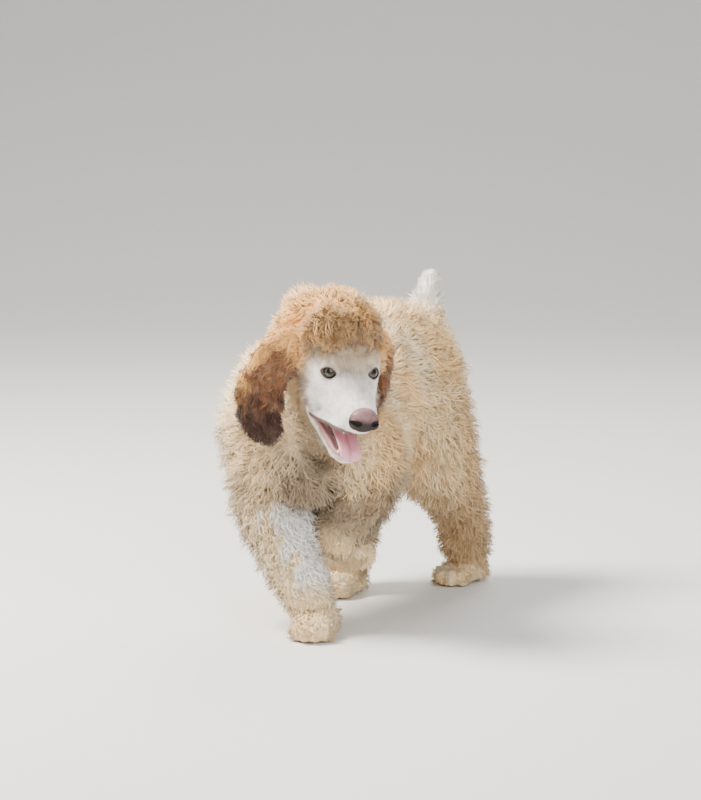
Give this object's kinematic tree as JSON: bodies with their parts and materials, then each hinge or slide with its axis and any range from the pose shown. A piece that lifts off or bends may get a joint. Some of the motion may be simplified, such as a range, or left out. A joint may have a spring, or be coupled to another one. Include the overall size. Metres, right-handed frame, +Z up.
{
  "type": "standard poodle",
  "caption": "Still, life-size model of a standard poodle puppy walking with its head turned, mouth open and one foreleg lifted.",
  "frame": {"origin": "middle of the whole model's outline on the floor, at the level of the soles", "axes": "+Z up, +Y towards the dog's tail along the body, +X towards the dog's left side"},
  "size_m": [0.238, 0.4058, 0.3593],
  "materials": {
    "coat_apricot": "curly apricot and cream coat, dull",
    "coat_cream": "curly pale cream coat, dull",
    "coat_white": "short white coat, dull",
    "ear_brown": "brown coat of the ears, darker at the tips, dull",
    "nose_leather": "moist pebbled brown nose, satin",
    "tongue_pink": "wet pink tongue, soft gloss",
    "eye_hazel": "wet hazel eye with a dark rim, gloss"
  },
  "bodies": {
    "root": {"torso": "coat_apricot", "neck": "coat_apricot", "tail": "coat_white", "head": "coat_apricot", "fore_right_upper": "coat_cream", "fore_right_lower": "coat_cream", "fore_right_paw": "coat_cream", "fore_left_upper": "coat_apricot", "fore_left_lower": "coat_apricot", "fore_left_paw": "coat_cream", "hind_right_upper": "coat_apricot", "hind_right_lower": "coat_apricot", "hind_right_paw": "coat_cream", "hind_left_upper": "coat_apricot", "hind_left_lower": "coat_apricot", "hind_left_paw": "coat_cream", "lower_jaw": "coat_white", "tongue": "tongue_pink", "nose": "nose_leather", "eye_right": "eye_hazel", "eye_left": "eye_hazel", "ear_right": "ear_brown", "ear_left": "ear_brown"}
  },
  "joints": []
}
